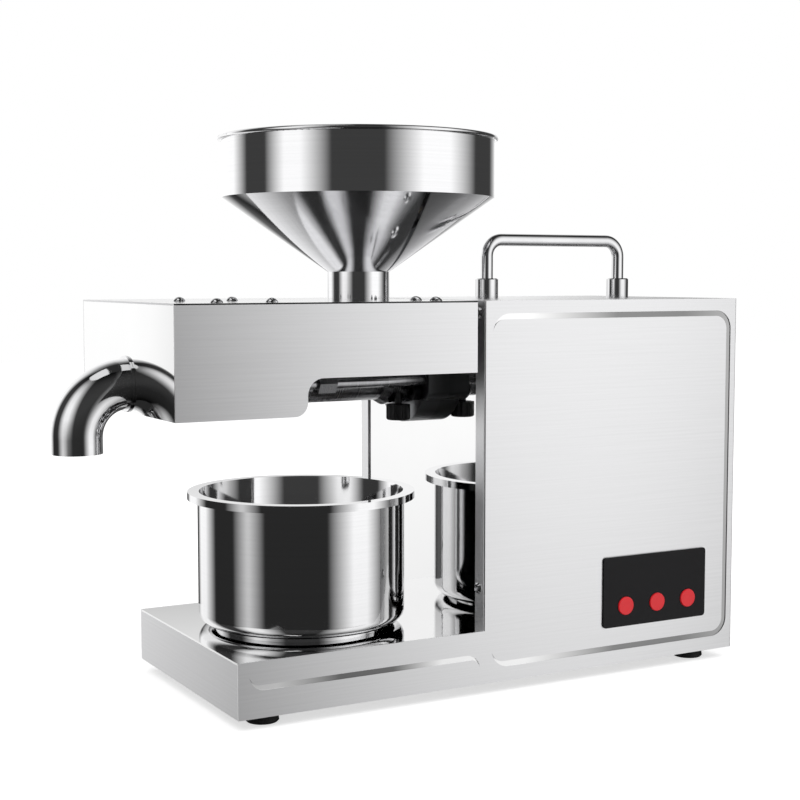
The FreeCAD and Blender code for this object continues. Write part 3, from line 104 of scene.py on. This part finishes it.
# Metres up the wall and the share of the band's light that is left there.
WALL_FADE = ((-1.6, 0.05), (-1.0, 0.2), (-0.35, 0.7), (-0.12, 0.88), (0.08, 1.0), (0.5, 1.0), (0.75, 0.85),
             (1.3, 0.3), (1.8, 0.12), (2.4, 0.03))
ROOM_LIGHT = 0.72
ROOM_IN_METAL = 0.03
PAPER = 0.62
FLOOR_HALF = 4.0
SOFTBOX_X = (-0.9, -0.3)
SOFTBOX_Y = (-0.5, 0.3)
SOFTBOX_Z = 1.5
SOFTBOX_LEVEL = 0.9


def build_world():
    """White for the eye, a plain soft light for the object, and dark above and below the walls for metal."""
    world = bpy.data.worlds.new("studio")
    world.use_nodes = True
    bpy.context.scene.world = world
    tree = world.node_tree
    tree.nodes.clear()
    path = add(tree, "ShaderNodeLightPath")
    soft = add(tree, "ShaderNodeMix", {"Factor": path.outputs["Is Glossy Ray"], "A": grey(ROOM_LIGHT),
                                       "B": grey(ROOM_IN_METAL)}, data_type="RGBA")
    seen = add(tree, "ShaderNodeMath", {0: path.outputs["Is Camera Ray"],
                                        1: path.outputs["Is Transmission Ray"]}, operation="MAXIMUM")
    colour = add(tree, "ShaderNodeMix", {"Factor": seen.outputs[0], "A": soft.outputs["Result"],
                                         "B": grey(1.0)}, data_type="RGBA")
    light = add(tree, "ShaderNodeBackground", {"Color": colour.outputs["Result"], "Strength": 1.0})
    add(tree, "ShaderNodeOutputWorld", {"Surface": light.outputs[0]})


def stage_object(name, corners, faces, material):
    """Flat faces that light or carry the object and aren't part of it."""
    mesh = bpy.data.meshes.new(name)
    mesh.from_pydata(corners, [], faces)
    mesh.materials.append(material)
    made = bpy.data.objects.new(name, mesh)
    bpy.context.scene.collection.objects.link(made)


def show_by_ray(tree, others, glossy):
    """Ends a stage material: one shader for the metal's reflections, another for every other ray."""
    path = add(tree, "ShaderNodeLightPath")
    mix = add(tree, "ShaderNodeMixShader", {0: path.outputs["Is Glossy Ray"], 1: others.outputs[0],
                                            2: glossy.outputs[0]})
    add(tree, "ShaderNodeOutputMaterial", {"Surface": mix.outputs[0]})


def panel_stops(panels, flag):
    """Colour ramp once round the studio, dark but for its panels."""
    stops = []
    for left, fade_in, right, fade_out, level in panels:
        stops += [(left - fade_in / 2, flag), (left + fade_in / 2, level),
                  (right - fade_out / 2, level), (right + fade_out / 2, flag)]
    return [(degree / 360, grey(level)) for degree, level in stops]


def build_walls():
    """Round wall of white panels and dark flags that only the metal sees."""
    material, tree = empty_material("studio_panels_and_flags")
    place = add(tree, "ShaderNodeTexCoord").outputs["Object"]
    ahead = add(tree, "ShaderNodeVectorMath", {0: place, 1: CAMERA_SIDE}, operation="DOT_PRODUCT")
    aside = add(tree, "ShaderNodeVectorMath", {0: place, 1: CAMERA_RIGHT}, operation="DOT_PRODUCT")
    turn = add(tree, "ShaderNodeMath", {0: aside.outputs["Value"], 1: ahead.outputs["Value"]},
               operation="ARCTAN2")
    turns = add(tree, "ShaderNodeMath", {0: turn.outputs[0], 1: math.tau}, operation="DIVIDE")
    share = add(tree, "ShaderNodeMath", {0: turns.outputs[0]}, operation="FRACT")
    high, low = (add(tree, "ShaderNodeValToRGB", {"Fac": share.outputs[0]}, stops=panel_stops(panels, flag))
                 for panels, flag in ((HIGH_PANELS, HIGH_FLAG), (LOW_PANELS, LOW_FLAG)))
    height = add(tree, "ShaderNodeSeparateXYZ", {0: place}).outputs["Z"]
    rise = add(tree, "ShaderNodeMapRange", {"Value": height, "From Min": LOW_PANELS_END,
                                            "From Max": HIGH_PANELS_START})
    bands = add(tree, "ShaderNodeMix", {"Factor": rise.outputs["Result"], "A": low.outputs["Color"],
                                        "B": high.outputs["Color"]}, data_type="RGBA")
    level = add(tree, "ShaderNodeMapRange", {"Value": height, "From Min": WALL_BOTTOM, "From Max": WALL_TOP})
    fade = add(tree, "ShaderNodeValToRGB", {"Fac": level.outputs["Result"]},
               stops=[((z - WALL_BOTTOM) / (WALL_TOP - WALL_BOTTOM), grey(left)) for z, left in WALL_FADE])
    tone = add(tree, "ShaderNodeMix", {"Factor": 1.0, "A": bands.outputs["Result"],
                                       "B": fade.outputs["Color"]}, data_type="RGBA", blend_type="MULTIPLY")
    lit = add(tree, "ShaderNodeEmission", {"Color": tone.outputs["Result"]})
    show_by_ray(tree, others=add(tree, "ShaderNodeBsdfTransparent"), glossy=lit)
    angles = [math.tau * i / WALL_SIDES for i in range(WALL_SIDES)]
    corners = [(WALL_RADIUS * math.cos(angle), WALL_RADIUS * math.sin(angle), z)
               for z in (WALL_BOTTOM, WALL_TOP) for angle in angles]
    faces = [(i, (i + 1) % WALL_SIDES, WALL_SIDES + (i + 1) % WALL_SIDES, WALL_SIDES + i)
             for i in range(WALL_SIDES)]
    stage_object("studio_walls", corners, faces, material)


def build_floor():
    """White floor that keeps the soft shadow; metal looks through it at the studio's walls."""
    material, tree = empty_material("white_studio_paper")
    path = add(tree, "ShaderNodeLightPath")
    paper = add(tree, "ShaderNodeBsdfDiffuse", {"Color": grey(PAPER)})
    glow = add(tree, "ShaderNodeEmission", {"Color": grey(1.0), "Strength": PAPER})
    lifted = add(tree, "ShaderNodeAddShader", {0: paper.outputs[0], 1: glow.outputs[0]})
    seen = add(tree, "ShaderNodeMixShader", {0: path.outputs["Is Camera Ray"], 1: paper.outputs[0],
                                             2: lifted.outputs[0]})
    show_by_ray(tree, others=seen, glossy=add(tree, "ShaderNodeBsdfTransparent"))
    corners = [(-FLOOR_HALF, -FLOOR_HALF, 0), (FLOOR_HALF, -FLOOR_HALF, 0), (FLOOR_HALF, FLOOR_HALF, 0),
               (-FLOOR_HALF, FLOOR_HALF, 0)]
    stage_object("floor", corners, [(0, 1, 2, 3)], material)


def build_softbox():
    """Panel overhead on the left that only the metal sees."""
    material, tree = empty_material("studio_softbox")
    lit = add(tree, "ShaderNodeEmission", {"Color": grey(SOFTBOX_LEVEL)})
    show_by_ray(tree, others=add(tree, "ShaderNodeBsdfTransparent"), glossy=lit)
    (left, right), (front, back) = SOFTBOX_X, SOFTBOX_Y
    corners = [(left, front, SOFTBOX_Z), (right, front, SOFTBOX_Z), (right, back, SOFTBOX_Z),
               (left, back, SOFTBOX_Z)]
    stage_object("studio_softbox", corners, [(3, 2, 1, 0)], material)


def build_lamps():
    """Three wide soft lamps: key from the front left, weaker fill and back lamps."""
    target = Vector((0.0, 0.0, 0.15))
    for name, place, power in (("key_lamp", (-0.9, -1.1, 1.6), 14.0), ("fill_lamp", (1.3, -1.0, 1.1), 7.0),
                               ("back_lamp", (0.2, 1.4, 1.5), 7.0)):
        lamp = bpy.data.objects.new(name, bpy.data.lights.new(name, "AREA"))
        lamp.data.shape = "DISK"
        lamp.data.size = 1.2
        lamp.data.energy = power
        lamp.location = place
        lamp.rotation_euler = (target - Vector(place)).to_track_quat("-Z", "Y").to_euler()
        lamp.visible_glossy = False
        bpy.context.scene.collection.objects.link(lamp)


# ---- Materials

# Grains, in cells per metre along X, Y and Z. Real belt lines and lathe rings are about a tenth of a
# millimetre apart; here they are 1.4 mm and 1.1 mm apart, because finer ones wouldn't show.
LONG_BRUSHED = (10.0, 700.0, 700.0)
CROSS_BRUSHED = (700.0, 10.0, 700.0)
LATHE_RINGS = (6.0, 6.0, 900.0)
# A polished sheet's waves are about 110 mm long, a buffed tube's cloudy patches 17 mm, and the tool marks
# on turned steel 0.7 mm apart along the press.
SHEET_WAVES = (9.0, 9.0, 9.0)
TUBE_CLOUDS = (60.0, 60.0, 60.0)
TOOL_MARKS = (1400.0, 30.0, 30.0)
GRAIN_DEPTH = 0.1 * MM
GRIT_DARKENS = 0.12
# Roughness of a burnished bend and of a frosted groove.
BURNISHED = 0.2
FROSTED = 0.3
# How squarely a face of the sheet looks along an axis: flat, fully bent, and flat on top.
FLAT_FACE, FULL_BEND = 0.995, 0.9
FLAT_TOP = 0.99
# Depth behind the front sheet's face between which a surface is a pressed groove.
GROOVE_SHALLOW, GROOVE_DEEP = 0.3 * MM, 0.9 * MM
# Painted reflection in the pressed groove, pale where it starts and dark along its run: millimetres along X
# and paleness, for the base's hook and for the tower's ring.
HOOK_PAINTED_REFLECTION = ((-130, 1.0), (-85, 0.2), (-45, 0.2), (-8, 1.0))
RING_PAINTED_REFLECTION = ((60, 1.0), (135, 0.27), (195, 0.27), (240, 0.5))
CUP_INNER_RADIUS = 71.6 * MM
CUP_FLOOR_BEND = 12.0 * MM
CUP_WALL_BELL = 0.18


def shaded(name, **sockets):
    """Material with one Principled shader; sockets are its own settings."""
    material, tree = empty_material(name)
    named = {key.replace("_", " "): value for key, value in sockets.items()}
    shader = add(tree, "ShaderNodeBsdfPrincipled", named)
    add(tree, "ShaderNodeOutputMaterial", {"Surface": shader.outputs[0]})
    return material, tree, shader


def object_place(tree, scale, centre=(0.0, 0.0, 0.0)):
    """Object coordinates, centred and scaled for a pattern."""
    place = add(tree, "ShaderNodeTexCoord").outputs["Object"]
    moved = add(tree, "ShaderNodeVectorMath", {0: place, 1: centre}, operation="SUBTRACT").outputs[0]
    return add(tree, "ShaderNodeMapping", {"Vector": moved, "Scale": scale}).outputs[0]


def ruffle(tree, shader, grain, strength):
    """Lets the grain ruffle the surface."""
    relief = add(tree, "ShaderNodeBump", {"Height": grain, "Strength": strength, "Distance": GRAIN_DEPTH})
    tree.links.new(relief.outputs["Normal"], shader.inputs["Normal"])


def streaked(name, pale, dark, smooth, rough, scale, bump=None):
    """Metal with a fine stretched grain that varies its tone and roughness and, with a bump, its relief."""
    material, tree, shader = shaded(name, Metallic=1.0)
    grain = add(tree, "ShaderNodeTexNoise", {"Vector": object_place(tree, scale), "Scale": 1.0, "Detail": 3.0,
                                             "Roughness": 0.6}).outputs["Fac"]
    tone = add(tree, "ShaderNodeValToRGB", {"Fac": grain},
               stops=[(0.3, linear(dark)), (0.7, linear(pale))]).outputs["Color"]
    sheen = add(tree, "ShaderNodeMapRange", {"Value": grain, "To Min": smooth,
                                             "To Max": rough}).outputs["Result"]
    tree.links.new(tone, shader.inputs["Base Color"])
    tree.links.new(sheen, shader.inputs["Roughness"])
    if bump:
        ruffle(tree, shader, grain, bump)
    return material, tree, shader, tone, sheen


def brushed_sheet(name, scale, top=0.3, bend_shade="#8A8A8C", groove=False):
    """Stainless sheet brushed with a belt: fine lines one way, a soft even sheen, and burnished bends painted
    darker as shade.

    top is the roughness of the faces that look up, and the colour after it is painted on the bends as shade.
    """
    material, tree, shader, tone, sheen = streaked(name, pale="#F4F4F5", dark="#EDEDEE", smooth=0.34,
                                                   rough=0.42, scale=scale, bump=0.06)
    place = add(tree, "ShaderNodeTexCoord")
    facing = add(tree, "ShaderNodeSeparateXYZ", {0: place.outputs["Normal"]})
    squareness = [add(tree, "ShaderNodeMath", {0: facing.outputs[axis]}, operation="ABSOLUTE").outputs[0]
                  for axis in "XYZ"]
    most = add(tree, "ShaderNodeMath", {0: squareness[0], 1: squareness[1]}, operation="MAXIMUM").outputs[0]
    most = add(tree, "ShaderNodeMath", {0: most, 1: squareness[2]}, operation="MAXIMUM").outputs[0]
    bent = add(tree, "ShaderNodeMapRange", {"Value": most, "From Min": FLAT_FACE, "From Max": FULL_BEND})
    bent = bent.outputs["Result"]
    flat_top = add(tree, "ShaderNodeMath", {0: facing.outputs["Z"], 1: FLAT_TOP}, operation="GREATER_THAN")
    # Bends get the bend colour: painted shade in place of the dark reflection along a bend.
    tone = add(tree, "ShaderNodeMix", {"Factor": bent, "A": tone, "B": linear(bend_shade)}, data_type="RGBA")
    sheen = add(tree, "ShaderNodeMix", {"Factor": flat_top.outputs[0], "A": sheen, "B": top},
                data_type="FLOAT")
    sheen = add(tree, "ShaderNodeMix", {"Factor": bent, "A": sheen.outputs["Result"], "B": BURNISHED},
                data_type="FLOAT")
    if groove:
        tone, sheen = groove_frost_and_painted_reflection(tree, place, tone, sheen)
    tree.links.new(tone.outputs["Result"], shader.inputs["Base Color"])
    tree.links.new(sheen.outputs["Result"], shader.inputs["Roughness"])
    return material


def groove_frost_and_painted_reflection(tree, place, tone, sheen):
    """Pressed grooves, frosted, with a painted reflection in their colour: pale where they start, dark along
    the runs.
    """
    (left, face, _), (right, _, _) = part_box("front_panel")
    spot = add(tree, "ShaderNodeSeparateXYZ", {0: place.outputs["Object"]})
    behind = add(tree, "ShaderNodeMath", {0: spot.outputs["Y"], 1: face + GROOVE_SHALLOW},
                 operation="GREATER_THAN")
    ahead = add(tree, "ShaderNodeMath", {0: spot.outputs["Y"], 1: face + GROOVE_DEEP}, operation="LESS_THAN")
    inside = add(tree, "ShaderNodeMath", {0: behind.outputs[0], 1: ahead.outputs[0]}, operation="MULTIPLY")
    across = add(tree, "ShaderNodeMapRange", {"Value": spot.outputs["X"], "From Min": left,
                                              "From Max": right})
    # Painted reflection along each groove: pale at the start, dark along the run.
    hook, ring = (add(tree, "ShaderNodeValToRGB", {"Fac": across.outputs["Result"]},
                      stops=[((x * MM - left) / (right - left), grey(level)) for x, level in tones])
                  for tones in (HOOK_PAINTED_REFLECTION, RING_PAINTED_REFLECTION))
    on_tower = add(tree, "ShaderNodeMath", {0: spot.outputs["X"], 1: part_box("tower_left_plate")[0][0]},
                   operation="GREATER_THAN")
    shade = add(tree, "ShaderNodeMix", {"Factor": on_tower.outputs[0], "A": hook.outputs["Color"],
                                        "B": ring.outputs["Color"]}, data_type="RGBA")
    tone = add(tree, "ShaderNodeMix", {"Factor": inside.outputs[0], "A": tone.outputs["Result"],
                                       "B": shade.outputs["Result"]}, data_type="RGBA")
    sheen = add(tree, "ShaderNodeMix", {"Factor": inside.outputs[0], "A": sheen.outputs["Result"],
                                        "B": FROSTED}, data_type="FLOAT")
    return tone, sheen


def spun_pot():
    """Spun steel of the cup; inside, the drawn wall bells a little and throws the room back over the rim."""
    material, tree, shader, *_ = streaked("spun_and_drawn_pot_steel", pale="#F0F0F1", dark="#EBEBEC",
                                          smooth=0.05, rough=0.08, scale=LATHE_RINGS)
    low, high = (Vector(corner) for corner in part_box("oil_cup"))
    place = object_place(tree, (1.0, 1.0, 0.0), centre=tuple((low + high) / 2))
    away = add(tree, "ShaderNodeVectorMath", {0: place}, operation="LENGTH").outputs["Value"]
    inner = add(tree, "ShaderNodeMath", {0: away, 1: CUP_INNER_RADIUS}, operation="LESS_THAN").outputs[0]
    height = add(tree, "ShaderNodeSeparateXYZ", {0: object_place(tree, (1.0, 1.0, 1.0))}).outputs["Z"]
    above = add(tree, "ShaderNodeMath", {0: height, 1: low.z + CUP_FLOOR_BEND},
                operation="GREATER_THAN").outputs[0]
    inside = add(tree, "ShaderNodeMath", {0: inner, 1: above}, operation="MULTIPLY").outputs[0]
    slope = add(tree, "ShaderNodeMath", {0: height, 1: -CUP_WALL_BELL}, operation="MULTIPLY").outputs[0]
    belled = add(tree, "ShaderNodeBump", {"Height": slope, "Strength": 1.0, "Distance": 1.0})
    straight = add(tree, "ShaderNodeNewGeometry").outputs["Normal"]
    normal = add(tree, "ShaderNodeMix", {"Factor": inside, "A": straight, "B": belled.outputs["Normal"]},
                 data_type="VECTOR")
    tree.links.new(normal.outputs["Result"], shader.inputs["Normal"])
    return material


def gritty(name, colour, roughness, metallic=0.0, grit=900.0, bump=0.15, **sockets):
    """Even material with a fine grit, in cells per metre, that darkens its tone a little and ruffles it."""
    material, tree, shader = shaded(name, Metallic=metallic, Roughness=roughness, **sockets)
    grain = add(tree, "ShaderNodeTexNoise", {"Vector": object_place(tree, (grit,) * 3), "Scale": 1.0,
                                             "Detail": 2.0}).outputs["Fac"]
    dirt = add(tree, "ShaderNodeMapRange", {"Value": grain, "To Min": 0.0, "To Max": GRIT_DARKENS})
    tone = add(tree, "ShaderNodeMix", {"Factor": dirt.outputs["Result"], "A": linear(colour),
                                       "B": linear("#000000")}, data_type="RGBA")
    tree.links.new(tone.outputs["Result"], shader.inputs["Base Color"])
    ruffle(tree, shader, grain, bump)
    return material


def paint(material, *nodes):
    """Puts the material in every slot of these CAD nodes."""
    for name in nodes:
        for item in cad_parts[name].material_slots:
            item.material = material


def dress_sheets():
    # Lines along the sheet, a pale soft sheen, bends painted darker as shade, and pressed grooves whose
    # painted reflection fades from frosted and pale to dark.
    paint(brushed_sheet("belt_brushed_front_sheet", LONG_BRUSHED, groove=True), "front_panel")
    # The same lines, with a glossier top and sharp bends painted dark as shade.
    paint(brushed_sheet("belt_brushed_arm_cover", LONG_BRUSHED, top=0.1, bend_shade="#3A3A3C"), "arm_cover")
    # The same lines along X, and along Y on the two end plates, with bends painted darker as shade.
    paint(brushed_sheet("belt_brushed_sheet_long", LONG_BRUSHED), "back_panel", "bottom_plate",
          "tower_top_plate", "motor_cradle")
    paint(brushed_sheet("belt_brushed_sheet_cross", CROSS_BRUSHED), "base_end_plate", "tower_right_plate")
    # Stainless sheet polished to a mirror: a faint waviness bends what it shows.
    mirror, *_ = streaked("mirror_polished_sheet", pale="#EFEFEF", dark="#ECECEC", smooth=0.02, rough=0.05,
                          scale=SHEET_WAVES, bump=0.02)
    paint(mirror, "base_top_plate", "tower_left_plate", "arm_end_plate")


def dress_steel():
    # Spun and buffed on the lathe: nearly a mirror, with hair-fine rings.
    spun, *_ = streaked("spun_and_buffed_steel", pale="#F0F0F1", dark="#EBEBEC", smooth=0.05, rough=0.08,
                        scale=LATHE_RINGS, bump=0.015)
    paint(spun, "hopper_bowl", "hopper_collar")
    paint(spun_pot(), "oil_cup")
    # Buffed tube and bar: clear stripes of light with slightly cloudy edges.
    tube, *_ = streaked("buffed_tube_steel", pale="#E9E9EA", dark="#DEDEDF", smooth=0.05, rough=0.1,
                        scale=TUBE_CLOUDS, bump=0.02)
    paint(tube, "cake_elbow", "handle_bar", "handle_sleeves", "arm_screws", "flange_screws", "foot_screws",
          "inlet_screws", "handle_nuts")
    # Turned tool steel: greyer, with tool marks round the axis of the press.
    turned, *_ = streaked("turned_tool_steel", pale="#BEBEC0", dark="#A4A4A6", smooth=0.18, rough=0.32,
                          scale=TOOL_MARKS, bump=0.1)
    paint(turned, "press_barrel", "choke_nut", "tie_rods", "tie_nuts", "feed_throat", "press_screw",
          "output_bearings", "temperature_probe", "gearbox_screws", "motor_bearings", "cover_bracket")
    # Cast, then milled: a dull mid grey with a coarse grain.
    paint(gritty("machined_steel_casting", "#7C7D7F", 0.38, 1.0, grit=400.0, bump=0.25), "connecting_seat",
          "barrel_hanger")
    # Oiled black oxide: nearly black with a soft metal gleam.
    paint(gritty("black_oxide_steel", "#2A2A2C", 0.35, 1.0), "seat_bolts")
    # Hobbed and ground: an even satin grey.
    paint(gritty("hobbed_gear_steel", "#A9A9AB", 0.3, 1.0), "output_shaft", "output_gear",
          "first_idler_shaft", "first_idler_gear", "second_idler_shaft", "second_idler_gear", "motor_shaft")
    # Die cast and left as cast: pale grey and slightly rough.
    paint(gritty("die_cast_alloy", "#B9BABC", 0.42, 1.0, grit=500.0, bump=0.3), "gearbox_housing",
          "gearbox_cover", "motor_end_cap")
    # Pressed powder bronze: warm brown with tiny pores.
    paint(gritty("sintered_bronze", "#B58A52", 0.45, 1.0, grit=1500.0, bump=0.3), "idler_bushes")
    # Stamped laminations: mid grey, a little dull.
    paint(gritty("silicon_steel_laminations", "#77777B", 0.4, 1.0), "rotor_core")
    # Heated many times: steel with a straw-coloured tint.
    paint(gritty("heat_tinted_band_steel", "#B4A994", 0.35, 1.0), "band_heater")


def dress_the_rest():
    # Baked enamel: deep black with a soft gloss.
    paint(gritty("black_stoving_enamel", "#1C1C1E", 0.3), "motor_can")
    # Fired ferrite: flat dark grey, like slate.
    paint(gritty("ferrite_ceramic", "#3A3A3C", 0.6), "motor_magnets")
    # Moulded in a lightly grained tool: black with a wide dull highlight.
    paint(gritty("black_moulded_nylon", "#161617", 0.45), "cooling_fan", "lock_knob", "power_inlet")
    # Smooth black acrylic with a thin gloss.
    paint(gritty("gloss_black_acrylic", "#131214", 0.16, bump=0.02, Specular_IOR_Level=0.15),
          "control_panel")
    # Moulded caps: clear red, almost smooth.
    paint(gritty("red_moulded_cap", "#DE2029", 0.3, bump=0.03), "heat_button", "press_button",
          "reverse_button")
    # Glass fibre board under green lacquer.
    paint(gritty("green_fibre_board", "#1E6B45", 0.5), "control_board")
    # Nitrile rubber: dull black with a fine tooth.
    paint(gritty("black_nitrile_rubber", "#1A1A1A", 0.75, bump=0.4), "feet")


place_camera()
build_world()
build_walls()
build_floor()
build_softbox()
build_lamps()
dress_sheets()
dress_steel()
dress_the_rest()

bpy.context.scene.view_settings.view_transform = "Standard"
